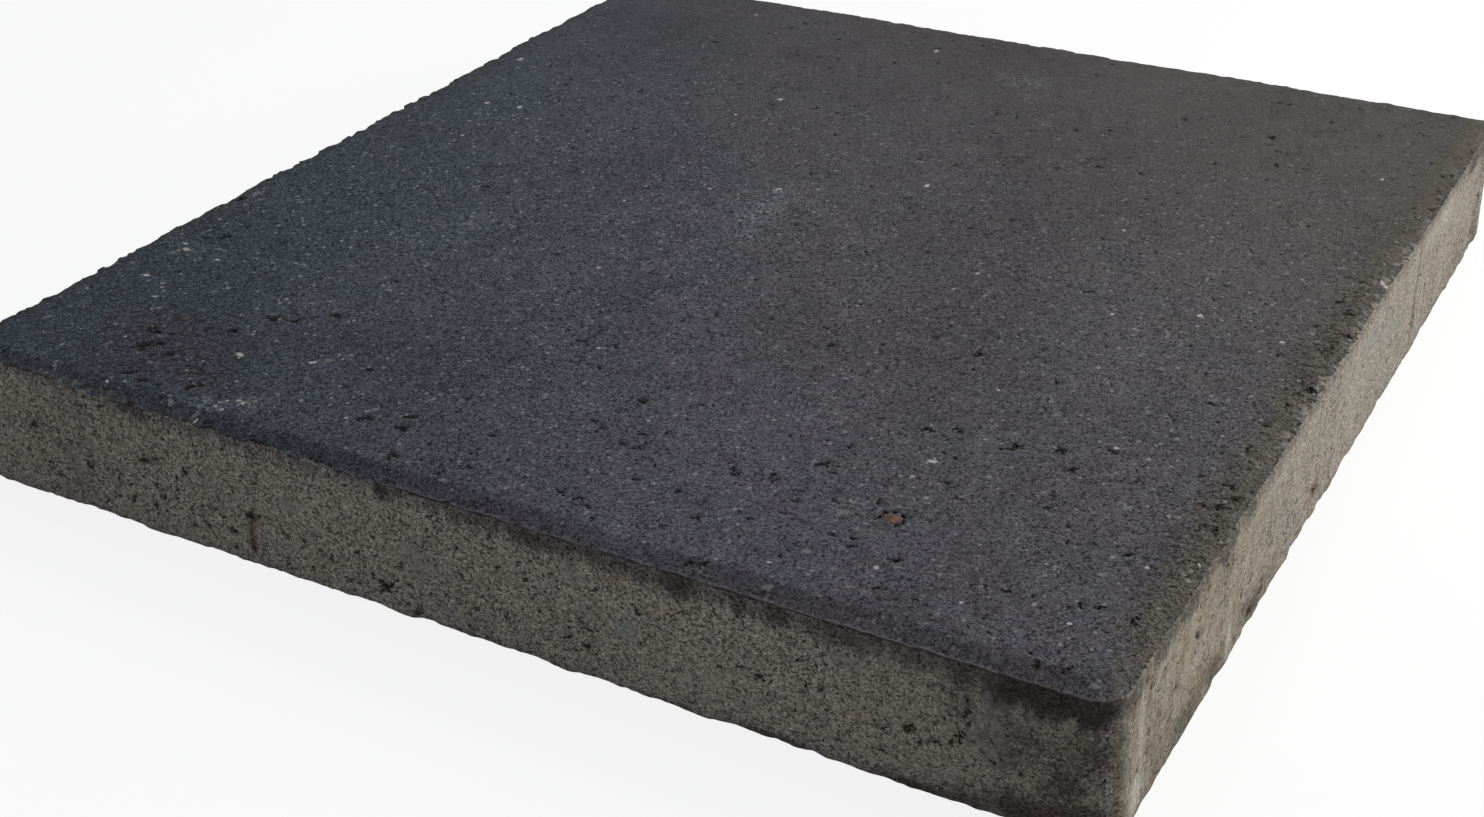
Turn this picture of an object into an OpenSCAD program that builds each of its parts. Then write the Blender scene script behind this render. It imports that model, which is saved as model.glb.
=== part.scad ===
// Pressed concrete paving slab: square, in two layers, with a bevelled top arris.
// Units are millimetres. The origin is the centre of the bed face, +Z is up,
// +X runs along the front side and +Y from the front side to the back.

/* [Slab] */
// Length of the front and back sides
slab_length = 500; // [300:10:800]
// Length of the left and right sides
slab_width = 500; // [300:10:800]
// Thickness from the bed face to the wearing face
slab_thickness = 60; // [40:1:100]
// Radius of the four upright corners, as the mould box has them
corner_radius = 12; // [12:0.5:30]

/* [Facing layer] */
// Depth of the dark facing mix, from the wearing face down to the backing
facing_depth = 10; // [6:0.5:20]

/* [Top arris] */
// Width of the flat bevel all round the wearing face, with its fin
bevel_width = 9; // [5:0.5:9.5]
// Depth by which the bevel has fallen where it meets the fin
bevel_depth = 2.5; // [1.5:0.25:3.5]
// Radius that softens the edge between the wearing face and the bevel
bevel_blend = 8; // [2:0.5:9]
// Thickness of the fin pressed up between the tamper and the mould box
fin_width = 0.8; // [0.4:0.1:1.5]
// Height of the fin above the low end of the bevel
fin_height = 0.5; // [0.2:0.1:0.8]

/* [Hidden] */
$fn = 64;

backing_depth = slab_thickness - facing_depth;
// How far a cutter stands clear of the surfaces that it doesn't shape
clear = 2;
// How far the blend's circle stands proud of the two flats, to cross them cleanly
proud = 0.001;

// The slab's outline from above: a rectangle with rounded corners.
module plan() {
    square([slab_length - 2 * corner_radius, slab_width], center = true);
    square([slab_length, slab_width - 2 * corner_radius], center = true);
    for (x = [-1, 1], y = [-1, 1])
        translate([x * (slab_length / 2 - corner_radius), y * (slab_width / 2 - corner_radius)])
            circle(r = corner_radius);
}

// One flat layer of the slab.
module layer(bottom, depth) {
    translate([0, 0, bottom]) linear_extrude(height = depth) plan();
}

// Runs a section once round the plan, along the four sides and round the four
// corners. The section's x is the distance outward from a corner's centre, so
// x = corner_radius is the side face, and its y is the height.
module run_round_plan() {
    for (quarter = [0:3]) {
        side = quarter % 2 == 0 ? slab_width : slab_length;
        across = quarter % 2 == 0 ? slab_length : slab_width;
        rotate(90 * quarter) translate([across / 2 - corner_radius, 0, 0]) {
            rotate([90, 0, 0])
                linear_extrude(height = side - 2 * corner_radius, center = true) children();
            translate([0, side / 2 - corner_radius, 0]) rotate_extrude(angle = 90) children();
        }
    }
}

// The space over the bevel. Here x = 0, y = 0 is where the wearing face and the
// bevel would meet as a sharp edge, and the blend is a circle that meets both.
module bevel_relief() {
    run = bevel_width - fin_width;
    slope = atan(bevel_depth / run);
    tangent = bevel_blend * tan(slope / 2);
    difference() {
        polygon([
            [-tangent, clear],
            [-tangent, -bevel_blend],
            [tangent * cos(slope), -tangent * sin(slope)],
            [run, -bevel_depth],
            [run, clear]
        ]);
        translate([-tangent, -bevel_blend]) circle(r = bevel_blend + proud);
    }
}

// The space over the whole top arris: over the bevel, and lower down over the fin.
module arris_relief() {
    fin_inside = corner_radius - fin_width;
    fin_top = slab_thickness - bevel_depth + fin_height;
    translate([corner_radius - bevel_width, slab_thickness]) bevel_relief();
    translate([fin_inside, fin_top])
        square([fin_width + clear, slab_thickness + clear - fin_top]);
}

// The dark wearing layer, with its bevelled arris and fin.
module facing_layer() {
    color([0.29, 0.29, 0.32]) difference() {
        layer(backing_depth, facing_depth);
        run_round_plan() arris_relief();
    }
}

// The grey coarse concrete under it, struck off flat and bedded on its lower face.
module backing_layer() {
    color([0.53, 0.51, 0.47]) layer(0, backing_depth);
}

facing_layer();
backing_layer();
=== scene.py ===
import math
import bpy
import numpy as np
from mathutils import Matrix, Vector
from mathutils.geometry import delaunay_2d_cdt


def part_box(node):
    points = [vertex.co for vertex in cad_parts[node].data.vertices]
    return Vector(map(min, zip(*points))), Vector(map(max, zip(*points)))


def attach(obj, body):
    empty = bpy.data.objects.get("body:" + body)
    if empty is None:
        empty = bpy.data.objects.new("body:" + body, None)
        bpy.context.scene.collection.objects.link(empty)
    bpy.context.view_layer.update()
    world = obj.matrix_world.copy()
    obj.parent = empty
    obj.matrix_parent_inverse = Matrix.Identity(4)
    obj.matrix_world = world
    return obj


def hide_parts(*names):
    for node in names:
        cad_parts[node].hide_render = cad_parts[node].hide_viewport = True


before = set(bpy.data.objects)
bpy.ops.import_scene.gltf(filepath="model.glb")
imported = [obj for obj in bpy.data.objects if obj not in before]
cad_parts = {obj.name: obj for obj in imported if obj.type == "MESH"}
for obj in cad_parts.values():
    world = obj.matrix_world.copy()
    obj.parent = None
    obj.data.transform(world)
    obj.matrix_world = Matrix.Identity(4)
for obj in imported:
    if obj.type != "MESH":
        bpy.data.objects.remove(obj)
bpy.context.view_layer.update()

MM = 0.001
RNG = np.random.default_rng(500)

# ---------------------------------------------------------------- sizes

FACING_LOW, FACING_HIGH = (np.array(c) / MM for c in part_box("facing_layer"))
HALF = FACING_HIGH[0]            # half of the square's side
TOP = FACING_HIGH[2]             # height of the wearing face
SEAM = FACING_LOW[2]             # height where the facing meets the backing
CORNER = 12.0                    # radius of the upright corners
BEVEL_WIDTH = 9.0                # width of the bevel, fin included
BEVEL_DEPTH = 2.5                # depth of the bevel's low end
BEVEL_BLEND = 1.2                # half of the width over which its inner edge is soft
FIN_WIDTH = 0.8
FIN_HEIGHT = 0.5
LEDGE = TOP - BEVEL_DEPTH        # height where the bevel meets the fin

FLAT = 2 * (HALF - CORNER)       # straight length of a side
QUARTER = FLAT + math.pi / 2 * CORNER
OUTLINE = 4 * QUARTER
COLUMNS = 1584                   # columns round the sides, about 1.25 mm apart
COLUMN_S = np.arange(COLUMNS) * OUTLINE / COLUMNS


def front(x):
    """The s of a place on the front side."""
    return x + FLAT / 2


def right(y):
    """The s of a place on the right side."""
    return QUARTER + y + FLAT / 2


# ---------------------------------------------------------------- shapes and noise

def outline(s):
    """Points on the outline and outward directions, both (n, 2), at distances s."""
    quarter, t = np.divmod(np.asarray(s, float) % OUTLINE, QUARTER)
    bend = np.clip(t - FLAT, 0, None) / CORNER
    out = np.c_[np.sin(bend), -np.cos(bend)]
    point = np.c_[np.clip(t, 0, FLAT) - FLAT / 2, np.full_like(t, -FLAT / 2)] + CORNER * out
    c, k = np.cos(quarter * math.pi / 2), np.sin(quarter * math.pi / 2)
    return [np.c_[c * v[:, 0] - k * v[:, 1], k * v[:, 0] + c * v[:, 1]] for v in (point, out)]


def inset(p):
    """How far points (n, 2) lie inside the outline."""
    q = np.abs(p) - FLAT / 2
    return CORNER - np.hypot(*np.maximum(q, 0).T) - np.minimum(q.max(axis=1), 0)


def lattice(i, seed):
    """A random value from -1 to 1 for each whole-number point (n, 3)."""
    i = (i.astype(np.int64) & 0xffffffff).astype(np.uint32)
    h = i[:, 0] * np.uint32(374761393) + i[:, 1] * np.uint32(668265263)
    h += i[:, 2] * np.uint32(2246822519) + np.uint32(seed * 40503)
    h = (h ^ (h >> np.uint32(13))) * np.uint32(1274126177)
    h ^= h >> np.uint32(16)
    return h / 2147483647.5 - 1


def noise(p, size, seed):
    """Smooth noise, about -0.7 to 0.7, at points (n, 3) with bumps of that size in mm."""
    q = np.asarray(p, float) / size
    low = np.floor(q)
    f = q - low
    f = f * f * (3 - 2 * f)
    total = np.zeros(len(q))
    for corner in np.ndindex(2, 2, 2):
        weight = np.prod(np.where(corner, f, 1 - f), axis=1)
        total += weight * lattice(low + corner, seed)
    return total


def ramp(value, low, high):
    """Goes evenly from 0 to 1 as value goes from low to high."""
    return np.clip((value - low) / (high - low), 0, 1)


def hump(value, width):
    """1 where value is 0, and less on both sides."""
    return np.exp(-(value / width) ** 2)


def at_height(p, z):
    """Points with one more coordinate, z, which is a number or an array."""
    return np.c_[p, np.broadcast_to(z, len(p))]


def near(p, places):
    """The largest of several soft round humps, at points (n, 2). A place is (u, v, half
    width, half height, strength)."""
    total = np.zeros(len(p))
    for u, v, a, b, strength in places:
        r = ((p[:, 0] - u) / a) ** 2 + ((p[:, 1] - v) / b) ** 2
        total = np.maximum(total, strength * np.exp(-r))
    return total


# ---------------------------------------------------------------- what is where

def on(side, places):
    """The same places on a side, whose first number was x or y, with s instead."""
    return [(side(u), *rest) for u, *rest in places]


def deep(depth, marks):
    """The same marks, with that depth added as their last number."""
    return [(*mark, depth) for mark in marks]


# Broken or rounded places of the top arris: (x, y, half width, half length, mm lost)
ARRIS_CHIPS = [
    (-128, -250, 12, 8, 1.5), (-100, -250, 8, 5, 0.9), (-215, -250, 14, 6, 1.2),
    (-172, -250, 9, 5, 0.8), (62, -250, 7, 5, 0.6), (-250, -92, 6, 9, 1.7), (-250, -140, 5, 6, 1.2),
    (-250, 4, 5, 5, 1), (-250, 62, 5, 9, 1.3), (-250, 118, 5, 6, 1.1), (-250, 168, 5, 8, 1.5),
    (-250, -190, 5, 10, 1.3), (250, -135, 6, 12, 0.9), (250, 25, 6, 10, 0.8), (250, -43, 4, 4, 1.2),
    (248, -213, 5, 8, 1), (-30, 250, 14, 5, 0.7), (78, 250, 25, 5, 1), (170, 250, 20, 5, 0.8),
    (225, 250, 20, 5, 1.4), (-150, 250, 20, 5, 0.6),
]
# Where the fin still stands: (x, y, half width, half length, share of its height)
FIN_STANDS = [
    (30, -250, 70, 5, 1), (120, -250, 60, 5, 1.1), (205, -250, 50, 5, 1.1), (247, -247, 9, 9, 1.1),
    (-70, -250, 30, 5, 0.4), (250, -90, 5, 30, 0.7), (250, 60, 5, 30, 0.6), (250, 150, 5, 50, 0.7),
]
# Places where the lower edge reaches down to the ground: (s, half width, mm)
FEET = [(s, 0, a, 1, mm) for s, a, mm in on(front, [
    (-152, 5, 1.6), (-28, 5, 1.5), (98, 6, 2), (2, 4, 1), (44, 5, 1.2), (190, 12, 0.8),
]) + on(right, [
    (-145, 6, 1.6), (-20, 9, 1.6), (110, 9, 1.5),
]) + [
    (QUARTER * 2.5, 8, 1.6), (QUARTER * 3.4, 8, 1.6),
]]

# Single marks on the top: (x, y, radius, stretch, angle, depth). The photo shows an
# angle of 28 degrees as level.
TOP_PITS = [
    (159, 177, 1.6, 1.3, 70, 1), (171, 147, 1.1, 1.2, 0, 0.9), (85, 40, 1.1, 1.2, 30, 0.8),
    (141, -9, 1.2, 1.8, 28, 0.9), (-74, -39, 1.1, 1.8, 28, 0.8), (-123, -127, 1.3, 1.8, 28, 0.9),
    (-23, -136, 1.2, 2.4, 28, 0.9), (-9, -133, 1.1, 2.6, 28, 0.9), (163, -132, 1.5, 1.3, 90, 1.1),
    (179, -127, 1.5, 1.2, 0, 0.9), (129, -135, 1.5, 1.5, 20, 1), (-82, 204, 1, 1.5, 28, 0.7),
    (-122, 97, 1.1, 2.8, 28, 0.6), (-131, 94, 0.9, 2, 28, 0.5), (-218, -126, 1.5, 1.2, 0, 0.9),
    (123, -76, 1.3, 1.2, 0, 0.7), (-147, -33, 1.3, 1.2, 0, 0.7), (187, -137, 1.5, 1.4, 60, 0.9),
    (-178, 68, 1, 1.8, 28, 0.6), (-187, 70, 1, 1.4, 28, 0.6), (-240, -93, 1.8, 1.4, 90, 1),
    (33, 40, 1, 2.6, 28, 0.6), (154, 221, 1, 1.3, 60, 0.7), (107, -173, 1.3, 2.6, 28, 0.9),
    (113, -176, 1, 2.2, 28, 0.7), (139, -130, 1, 1.4, 0, 0.8), (151, -164, 1.1, 2, 0, 0.8),
    (63, -119, 1, 1.3, 0, 0.7), (59, -84, 1, 1.3, 0, 0.7), (46, -157, 1.1, 1.8, 28, 0.8),
    (38, -184, 1.1, 2.8, 35, 0.9), (41, -193, 1.1, 2.8, 50, 1), (36, -193, 0.9, 2, 40, 0.7),
    (18, -184, 0.9, 2.2, 28, 0.7), (26, -163, 0.9, 1.6, 28, 0.6), (83, -193, 1.1, 2.4, 28, 0.9),
    (80, -189, 1, 2.2, 120, 0.8), (94, -186, 1, 2.4, 110, 0.9), (97, -189, 1.1, 1.8, 60, 0.9),
    (87, -161, 0.9, 2.6, 60, 0.7), (34, -229, 1.1, 2.6, 10, 0.8), (42, -229, 1.2, 2.4, 5, 0.9),
    (47, -232, 1, 1.8, 0, 0.8), (85, -221, 1, 2, 20, 0.7), (101, -214, 1.1, 1.4, 28, 0.8),
    (96, -244, 1.1, 1.5, 28, 0.8), (101, -243, 1, 1.4, 28, 0.7), (110, -198, 1, 2, 10, 0.7),
    (95, -186, 0.9, 1.5, 100, 0.7), (138, -209, 1.1, 2, 170, 0.9), (131, -210, 1, 1.4, 0, 0.8),
    (140, -213, 1.1, 2, 28, 0.9), (157, -214, 1.3, 1.4, 28, 1), (203, -179, 1, 1.4, 100, 0.8),
    (196, -213, 1.1, 1.2, 0, 0.8), (205, -212, 0.9, 2, 110, 0.7), (226, -208, 1.2, 1.3, 60, 0.9),
    (220, -209, 1, 1.4, 90, 0.7), (220, -243, 1.1, 1.6, 100, 0.8), (216, -239, 0.8, 1.3, 0, 0.7),
    (189, -163, 1, 1.6, 28, 0.8), (159, -171, 1, 1.4, 0, 0.7), (189, -213, 0.9, 1.4, 0, 0.6),
    (172, -230, 1, 1.3, 28, 0.7), (158, -230, 1, 1.4, 28, 0.7), (229, -241, 1.1, 2.6, 28, 0.8),
    (233, -219, 0.8, 1.6, 28, 0.7), (-136, -231, 1.7, 2.4, 40, 1.2), (-177, -215, 2, 1.8, 28, 1.2),
    (-180, -205, 1.7, 1.8, 28, 1), (-185, -203, 1.4, 1.6, 28, 1), (-163, -216, 1.4, 2, 28, 0.9),
    (-172, -211, 1.5, 2, 40, 1), (-166, -234, 1.5, 3, 20, 1), (-157, -236, 1.5, 2.8, 20, 1),
    (-154, -190, 1.5, 1.8, 28, 1), (-147, -175, 1.4, 2.2, 28, 1), (-137, -173, 1.4, 1.6, 28, 0.9),
    (-125, -162, 1.4, 1.8, 28, 0.9), (-44, -219, 1.5, 2.2, 28, 1), (-46, -212, 1.4, 2.2, 28, 0.9),
    (-34, -236, 1.4, 2.4, 28, 1), (-61, -220, 1.4, 2.2, 28, 0.9), (-12, -238, 1.1, 1.6, 28, 0.8),
    (-5, -230, 1.2, 2, 10, 0.9), (-83, -191, 1.4, 1.4, 28, 0.9), (-11, -209, 1.1, 2, 28, 0.7),
    (-113, -247, 1.4, 1.4, 0, 0.8), (196, -120, 1.1, 2.2, 28, 0.9), (215, -73, 1.1, 2, 28, 0.8),
    (239, -79, 1.1, 1.8, 28, 0.8), (241, -61, 1.2, 1.6, 60, 0.9), (242, -51, 1.1, 1.4, 40, 0.8),
    (245, -44, 1.6, 1.5, 40, 1.2), (241, -123, 1.3, 1.6, 100, 1), (244, -128, 1.4, 1.6, 80, 1),
    (241, -136, 1.3, 1.4, 60, 0.9), (224, -177, 1.3, 1.6, 28, 0.9), (244, -149, 1.2, 1.5, 70, 0.9),
    (240, -150, 1, 1.4, 0, 0.8), (238, -96, 1, 1.6, 50, 0.8), (239, 48, 1.1, 1.5, 60, 0.8),
    (235, 27, 1.1, 1.8, 40, 0.8), (242, 19, 1.4, 1.5, 60, 0.9), (246, 3, 1.3, 1.4, 60, 0.9),
    (233, 3, 1, 1.8, 40, 0.7), (243, -10, 1.2, 1.4, 60, 0.8), (227, -26, 1, 1.6, 40, 0.7),
    (246, 134, 1.3, 1.6, 28, 1), (238, -210, 1.2, 2.4, 95, 1), (190, 20, 1, 1.6, 28, 0.6),
    (97, 110, 1.2, 1.3, 50, 0.7),
]
# The same for pale grains. They stand a little proud where the depth is below 0.
TOP_GRAINS = deep(-0.1, [
    (-210, 50, 1.5, 1.3, 20), (-191, 52, 1.8, 1.3, 120), (-24, 23, 1.3, 1.5, 28),
    (35, 56, 1.5, 1.5, 100), (-137, -204, 1.6, 1.6, 165),
]) + deep(0, [
    (-107, -196, 1.3, 1.8, 28), (-53, -79, 1.1, 1.1, 0), (-231, 107, 1.8, 1.5, 60),
    (-78, 118, 1.4, 1.2, 0), (-37, 213, 1.5, 1.7, 100), (141, -154, 1.6, 1.6, 20),
    (153, -220, 1.1, 1.2, 0), (221, -220, 1, 1.3, 0), (-67, -223, 1, 1.1, 0), (157, -23, 1.1, 1.2, 0),
    (225, -16, 1.2, 1.2, 0), (189, -9, 1.4, 1.3, 80), (133, 51, 1, 1.1, 0), (-53, 10, 1.1, 1.2, 0),
    (196, -117, 1.1, 1.2, 0), (246, 53, 1.5, 2.6, 115), (246, -170, 0.8, 2, 130),
    (-13, -137.5, 1, 1.2, 28), (-88, 91, 1.1, 1.3, 100), (219, 152, 1.1, 1.3, 100),
    (-195, 11, 1.1, 1.3, 0), (-204, -182, 1.1, 1.8, 10), (-222, -169, 1.4, 1.4, 0),
    (-225, -143, 1.5, 1.4, 150), (-229, -139, 1.1, 1.3, 0), (-205, -145, 1.2, 1.5, 0),
    (141, -98, 0.9, 1.1, 0), (93, -14, 1.1, 1.3, 40), (232, -181, 0.9, 1.1, 0),
    (-153, 221, 1.1, 1.5, 120), (-81, -18, 0.8, 1.1, 0), (35, -175, 0.8, 1.3, 28),
    (139, -166, 0.8, 1.3, 28), (120, -233, 0.8, 1.2, 28), (186, -225, 0.8, 1.2, 28),
    (-169, -242, 0.9, 1.2, 0), (-189, -213, 0.8, 1.2, 0), (-119, -247, 1.2, 1.5, 60),
    (248, 52, 1.3, 1.6, 60), (-113, -239, 0.9, 1.6, 60), (-117, -238, 0.8, 1.4, 20),
    (-112, -231, 1, 1.8, 30), (-116, -233, 0.8, 1.4, 60), (-109, -232, 0.8, 1.5, 10),
])
# Duller grains, in the same form
DULL_GRAINS = deep(0, [
    (-135, -243, 1.5, 1.8, 150), (-138, -240, 1.1, 1.5, 20), (-121, -245, 1.3, 1.6, 60),
    (-117, -235, 1.2, 1.6, 0), (-109, -227, 1.1, 1.8, 30), (-106, -229, 1.2, 1.6, 0),
    (-102, -192, 1.3, 1.9, 28), (-238, -85, 1.7, 1.5, 80), (-232, -90, 1.2, 1.4, 0),
    (-228, -148, 1.6, 1.5, 30), (-8, -241, 1.3, 1.5, 28), (-61, -213, 1.2, 1.4, 28),
    (-169, -132, 1.2, 1.3, 28), (-185, -168, 1.4, 1.6, 28), (-216, -82, 1.2, 1.4, 28),
    (-155, -91, 1.1, 1.3, 28), (-141, -158, 1.1, 1.4, 28), (-131, -69, 1.4, 2, 28),
    (-45, -189, 1, 1.3, 28), (-102, -221, 1, 1.2, 0), (98, -223, 1.3, 1.8, 50),
    (128, -222, 1.4, 1.3, 0), (128, -196, 1.9, 1.5, 28), (88, -102, 1.2, 1.4, 28),
    (51, -145, 1, 1.4, 28), (50, -107, 0.9, 1.4, 28), (68, -160, 0.9, 1.1, 0),
    (126, -244, 1.7, 1.8, 28), (150, -233, 1.1, 1.6, 10), (138, -199, 1.1, 1.5, 28),
    (239, -244, 1.4, 1.5, 28), (214, -151, 1.6, 1.7, 40), (231, -149, 1.2, 1.4, 28),
    (220, -191, 1.3, 1.5, 28), (141, -227, 1.1, 1.4, 28), (160, -170, 1, 1.2, 0),
    (184, -155, 1, 1.3, 28), (216, -70, 1.3, 1.4, 28), (190, -56, 1.4, 1.7, 28),
    (228, 57, 1.3, 2.2, 20), (201, 68, 1, 1.2, 0), (195, 84, 0.9, 1.1, 0), (182, 28, 1, 1.4, 28),
    (245, 59, 0.9, 1.2, 0), (247, 16, 1.2, 1.5, 40), (238, 115, 0.9, 1.2, 0), (159, -217, 1.2, 1.6, 28),
])
# Dirty and broken patches of the top: (x, y, half width, half length, strength)
TOP_DIRT = [
    (-172, -205, 34, 16, 0.8), (-150, -225, 40, 9, 0.5), (238, -150, 10, 60, 0.35),
    (242, -20, 8, 80, 0.42), (240, 110, 8, 50, 0.25), (80, -222, 60, 8, 0.2), (-20, -232, 50, 7, 0.25),
    (-236, -110, 9, 40, 0.3), (-238, 100, 9, 90, 0.25),
]
# Pale scuffs on the top, in the same form
SCUFFS = [
    (-18, 0, 8, 18, 1), (-14, -22, 6, 12, 0.85), (-22, 18, 6, 10, 0.7), (24, 194, 12, 10, 0.7),
    (35, 176, 6, 8, 0.3), (-120, -240, 8, 6, 0.9), (-222, -142, 10, 5, 0.6), (66, -246, 9, 6, 0.7),
    (-108, -231, 6, 5, 1), (-200, -249, 45, 3, 0.45), (-104, -196, 7, 3, 0.6), (-231, 78, 7, 7, 0.4),
    (-240, -86, 5, 7, 0.6), (-130, -68, 7, 6, 0.4), (195, 122, 26, 10, 0.25),
]


def beside(place, distance, angle):
    """The point at that distance and angle from a place."""
    turn = math.radians(angle)
    return place[0] + distance * math.cos(turn), place[1] + distance * math.sin(turn)


# The brown pebble, and the gaps broken round it
PEBBLE = (144.5, -192.5, 2.7, 1.15, 70, -0.2)
PEBBLE_REACH = 4.3
PEBBLE_GAPS = [(*beside(PEBBLE, PEBBLE_REACH, a), 1.15, 2.2, a + 90, 1.4)
               for a in (0, 50, 100, 145, 190, 320)] + [(136, -186, 1, 1.8, 150, 1)]

# Single marks on the sides: (s, z, radius, stretch, angle, depth)
SIDE_PITS = on(front, [
    (-208, 34, 1.5, 1.4, 20, 1.3), (-181, 21.5, 1.4, 2, 170, 1.3), (-150, 33, 1.5, 3.8, 25, 1.4),
    (-142, 36, 1.2, 2.8, 30, 1.1), (-128, 33.5, 1.4, 1.4, 60, 1.2), (-120, 35, 1, 1.5, 0, 1),
    (-97, 22.5, 1.7, 1.7, 20, 1.6), (-93, 24, 1.1, 1.6, 20, 1.2), (-148, 13, 1.4, 1.4, 60, 1.3),
    (-142, 18, 1.2, 2, 30, 1.2), (-160, 12, 1.1, 2.2, 60, 1), (-121, 11.5, 1, 1.5, 90, 0.9),
    (-108, 13, 1.4, 1.2, 0, 1.1), (-99, 8, 1.1, 1.6, 90, 1), (-46, 22, 1.1, 1.3, 0, 1),
    (-34.5, 10.5, 2, 1.15, 80, 2.6), (-60, 15.5, 1.1, 1.4, 90, 1), (-54, 8.8, 0.9, 2.6, 10, 0.9),
    (-72, 19, 1, 1.5, 10, 0.9), (-58, 28, 0.9, 1.8, 170, 0.8), (-26, 22, 1.1, 1.3, 60, 0.9),
    (53, 24, 1, 1.9, 150, 1.1), (56, 21.5, 1, 2, 160, 1.1), (77.5, 23, 1, 2.4, 65, 1.1),
    (55, 14, 1.2, 1.6, 15, 1.1), (19, 36, 0.9, 1.5, 80, 0.9), (200, 43, 0.9, 2.2, 85, 1.1),
    (199.6, 38, 1.1, 2, 95, 1.2), (200.6, 34, 1, 1.8, 80, 1.1), (198, 28, 1.4, 2.2, 50, 1.4),
    (194.5, 24.5, 1.1, 1.8, 60, 1.1), (179.5, 24.3, 1.6, 1.7, 175, 1.6), (189, 22.5, 1.1, 2.2, 20, 1.1),
    (183.5, 20, 1, 1.8, 30, 1), (124, 25.5, 1.4, 1.7, 30, 1.2), (142, 28, 0.9, 2.6, 88, 1),
    (20, 15, 1, 1.6, 70, 0.8), (6, 14, 1, 1.8, 40, 0.8), (-215, 20, 1, 1.8, 20, 0.9),
    (-200, 12, 1, 2, 25, 0.9), (-133, 30, 0.9, 1.8, 60, 0.9), (-104, 32, 0.9, 1.6, 40, 0.8),
]) + on(right, [
    (-40, 11.5, 2.2, 1.5, 170, 2.2), (-178, 36, 1.6, 1.9, 160, 1.2), (-24, 43, 1, 1.9, 160, 1),
    (-120, 21, 1.2, 1.5, 30, 1), (-126, 11.5, 1.3, 1.6, 10, 1.1), (-118, 6, 1.5, 1.5, 160, 1.2),
    (-104, 6, 1.3, 1.4, 20, 1.1), (-20, 20, 1, 1.8, 90, 0.9), (20, 13, 1, 1.5, 60, 0.9),
    (64, 17, 1.1, 1.8, 150, 0.9), (108, 17, 1.1, 1.7, 160, 1), (112, 36, 1.1, 1.5, 150, 0.9),
    (142, 35, 1, 1.8, 160, 0.9), (-232, 52, 1.3, 1.5, 120, 1.1), (-222, 46, 1.1, 1.4, 60, 1),
    (-151, 47, 1.2, 1.8, 150, 1), (228, 26, 1.5, 1.9, 120, 1.1), (-160, 4, 1.2, 1.8, 20, 1.1),
    (-60, 4, 1.2, 1.6, 10, 1), (-90, 12, 1, 1.6, 40, 0.9),
])
SIDE_GRAINS = deep(0, on(front, [
    (-33, 24.5, 1, 1.5, 30), (-4, 12, 0.9, 1.4, 10), (19, 42, 0.8, 1.3, 0), (196, 13.5, 1, 1.5, 80),
    (125, 17.5, 0.7, 1.2, 0), (-170, 47, 0.8, 1.3, 0),
]) + on(right, [
    (-231, 11, 1.8, 1.3, 90), (-228, 5, 1.5, 1.6, 100), (-142, 8, 1.1, 2.4, 95),
    (-143, 2.5, 1.2, 1.6, 95),
]))

DRAG_Z = 53                      # height from which the drags hang down
# Places where the dark facing was dragged down further: (s, half width, mm)
DRAGS = [(s, DRAG_Z, a, 20, mm) for s, a, mm in on(front, [
    (-150, 10, 3.5), (-120, 12, 1.5), (-90, 14, 1.6), (-66, 10, 1.2), (-29, 6, 6), (-8, 9, 2),
    (12, 18, 4.5), (36, 16, 5.8), (58, 14, 4), (80, 12, 4), (95, 9, 8), (118, 4, 7), (132, 7, 6.5),
    (156, 7, 6), (178, 14, 5), (198, 8, 6), (212, 8, 11.5), (226, 12, 12.5), (242, 9, 9.5),
]) + on(right, [
    (-247, 6, 5), (-236, 8, 6.3), (-212, 10, 8.2), (-188, 12, 7), (-152, 10, 9.2), (-126, 10, 5),
    (-95, 22, 2), (-20, 8, 1.5), (203, 12, 8), (225, 14, 7),
]) + [
    (QUARTER * 2.3, 60, 4), (QUARTER * 2.7, 30, 6), (QUARTER * 3.2, 40, 5), (QUARTER * 3.7, 50, 3.5),
]]
DRAGS += [(s, DRAG_Z, a, 40, mm) for s, a, mm in on(front, [(62, 62, 4.9), (160, 48, 4.2), (-70, 60, 0.6)])]
# Pale patches of cement slurry on the sides: (s, z, half width, half height, strength)
SLURRY = on(front, [
    (-188, 22, 6, 8, 0.8), (-110, 27, 6, 6, 0.6), (-116, 32, 4, 3, 0.7), (-18, 27, 7, 9, 0.7),
    (52, 43, 5, 4, 0.7), (72, 27, 5, 6, 0.9), (55, 31, 4, 3, 0.6), (156, 43, 8, 3, 0.8),
    (210, 34, 8, 14, 0.8), (-62, 53, 5, 5, 0.7), (-37, 55, 4, 4, 0.6), (-160, 55, 5, 4, 0.5),
    (170, 52, 14, 4, 0.5), (-88, 12, 6, 6, 0.5), (-128, 30, 4, 5, 0.6), (-140, 8, 6, 4, 0.6),
    (-76, 34, 7, 4, 0.5), (-180, 44, 7, 4, 0.4), (120, 31, 5, 5, 0.5), (105, 34, 4, 4, 0.4),
    (-8, 8, 7, 4, 0.5), (88, 20, 5, 3, 0.4), (26, 44, 6, 3, 0.4),
]) + on(right, [
    (-229, 11, 6, 8, 1), (-205, 50, 7, 5, 0.6), (-141, 10, 3, 9, 0.8), (-230, 50, 3, 9, 0.6),
    (-100, 50, 12, 5, 0.4), (-142, 24, 12, 8, 0.3), (5, 30, 12, 10, 0.3), (30, 45, 16, 8, 0.6),
    (130, 48, 14, 7, 0.6), (60, 30, 30, 14, 0.3), (170, 45, 20, 12, 0.4),
])
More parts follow.
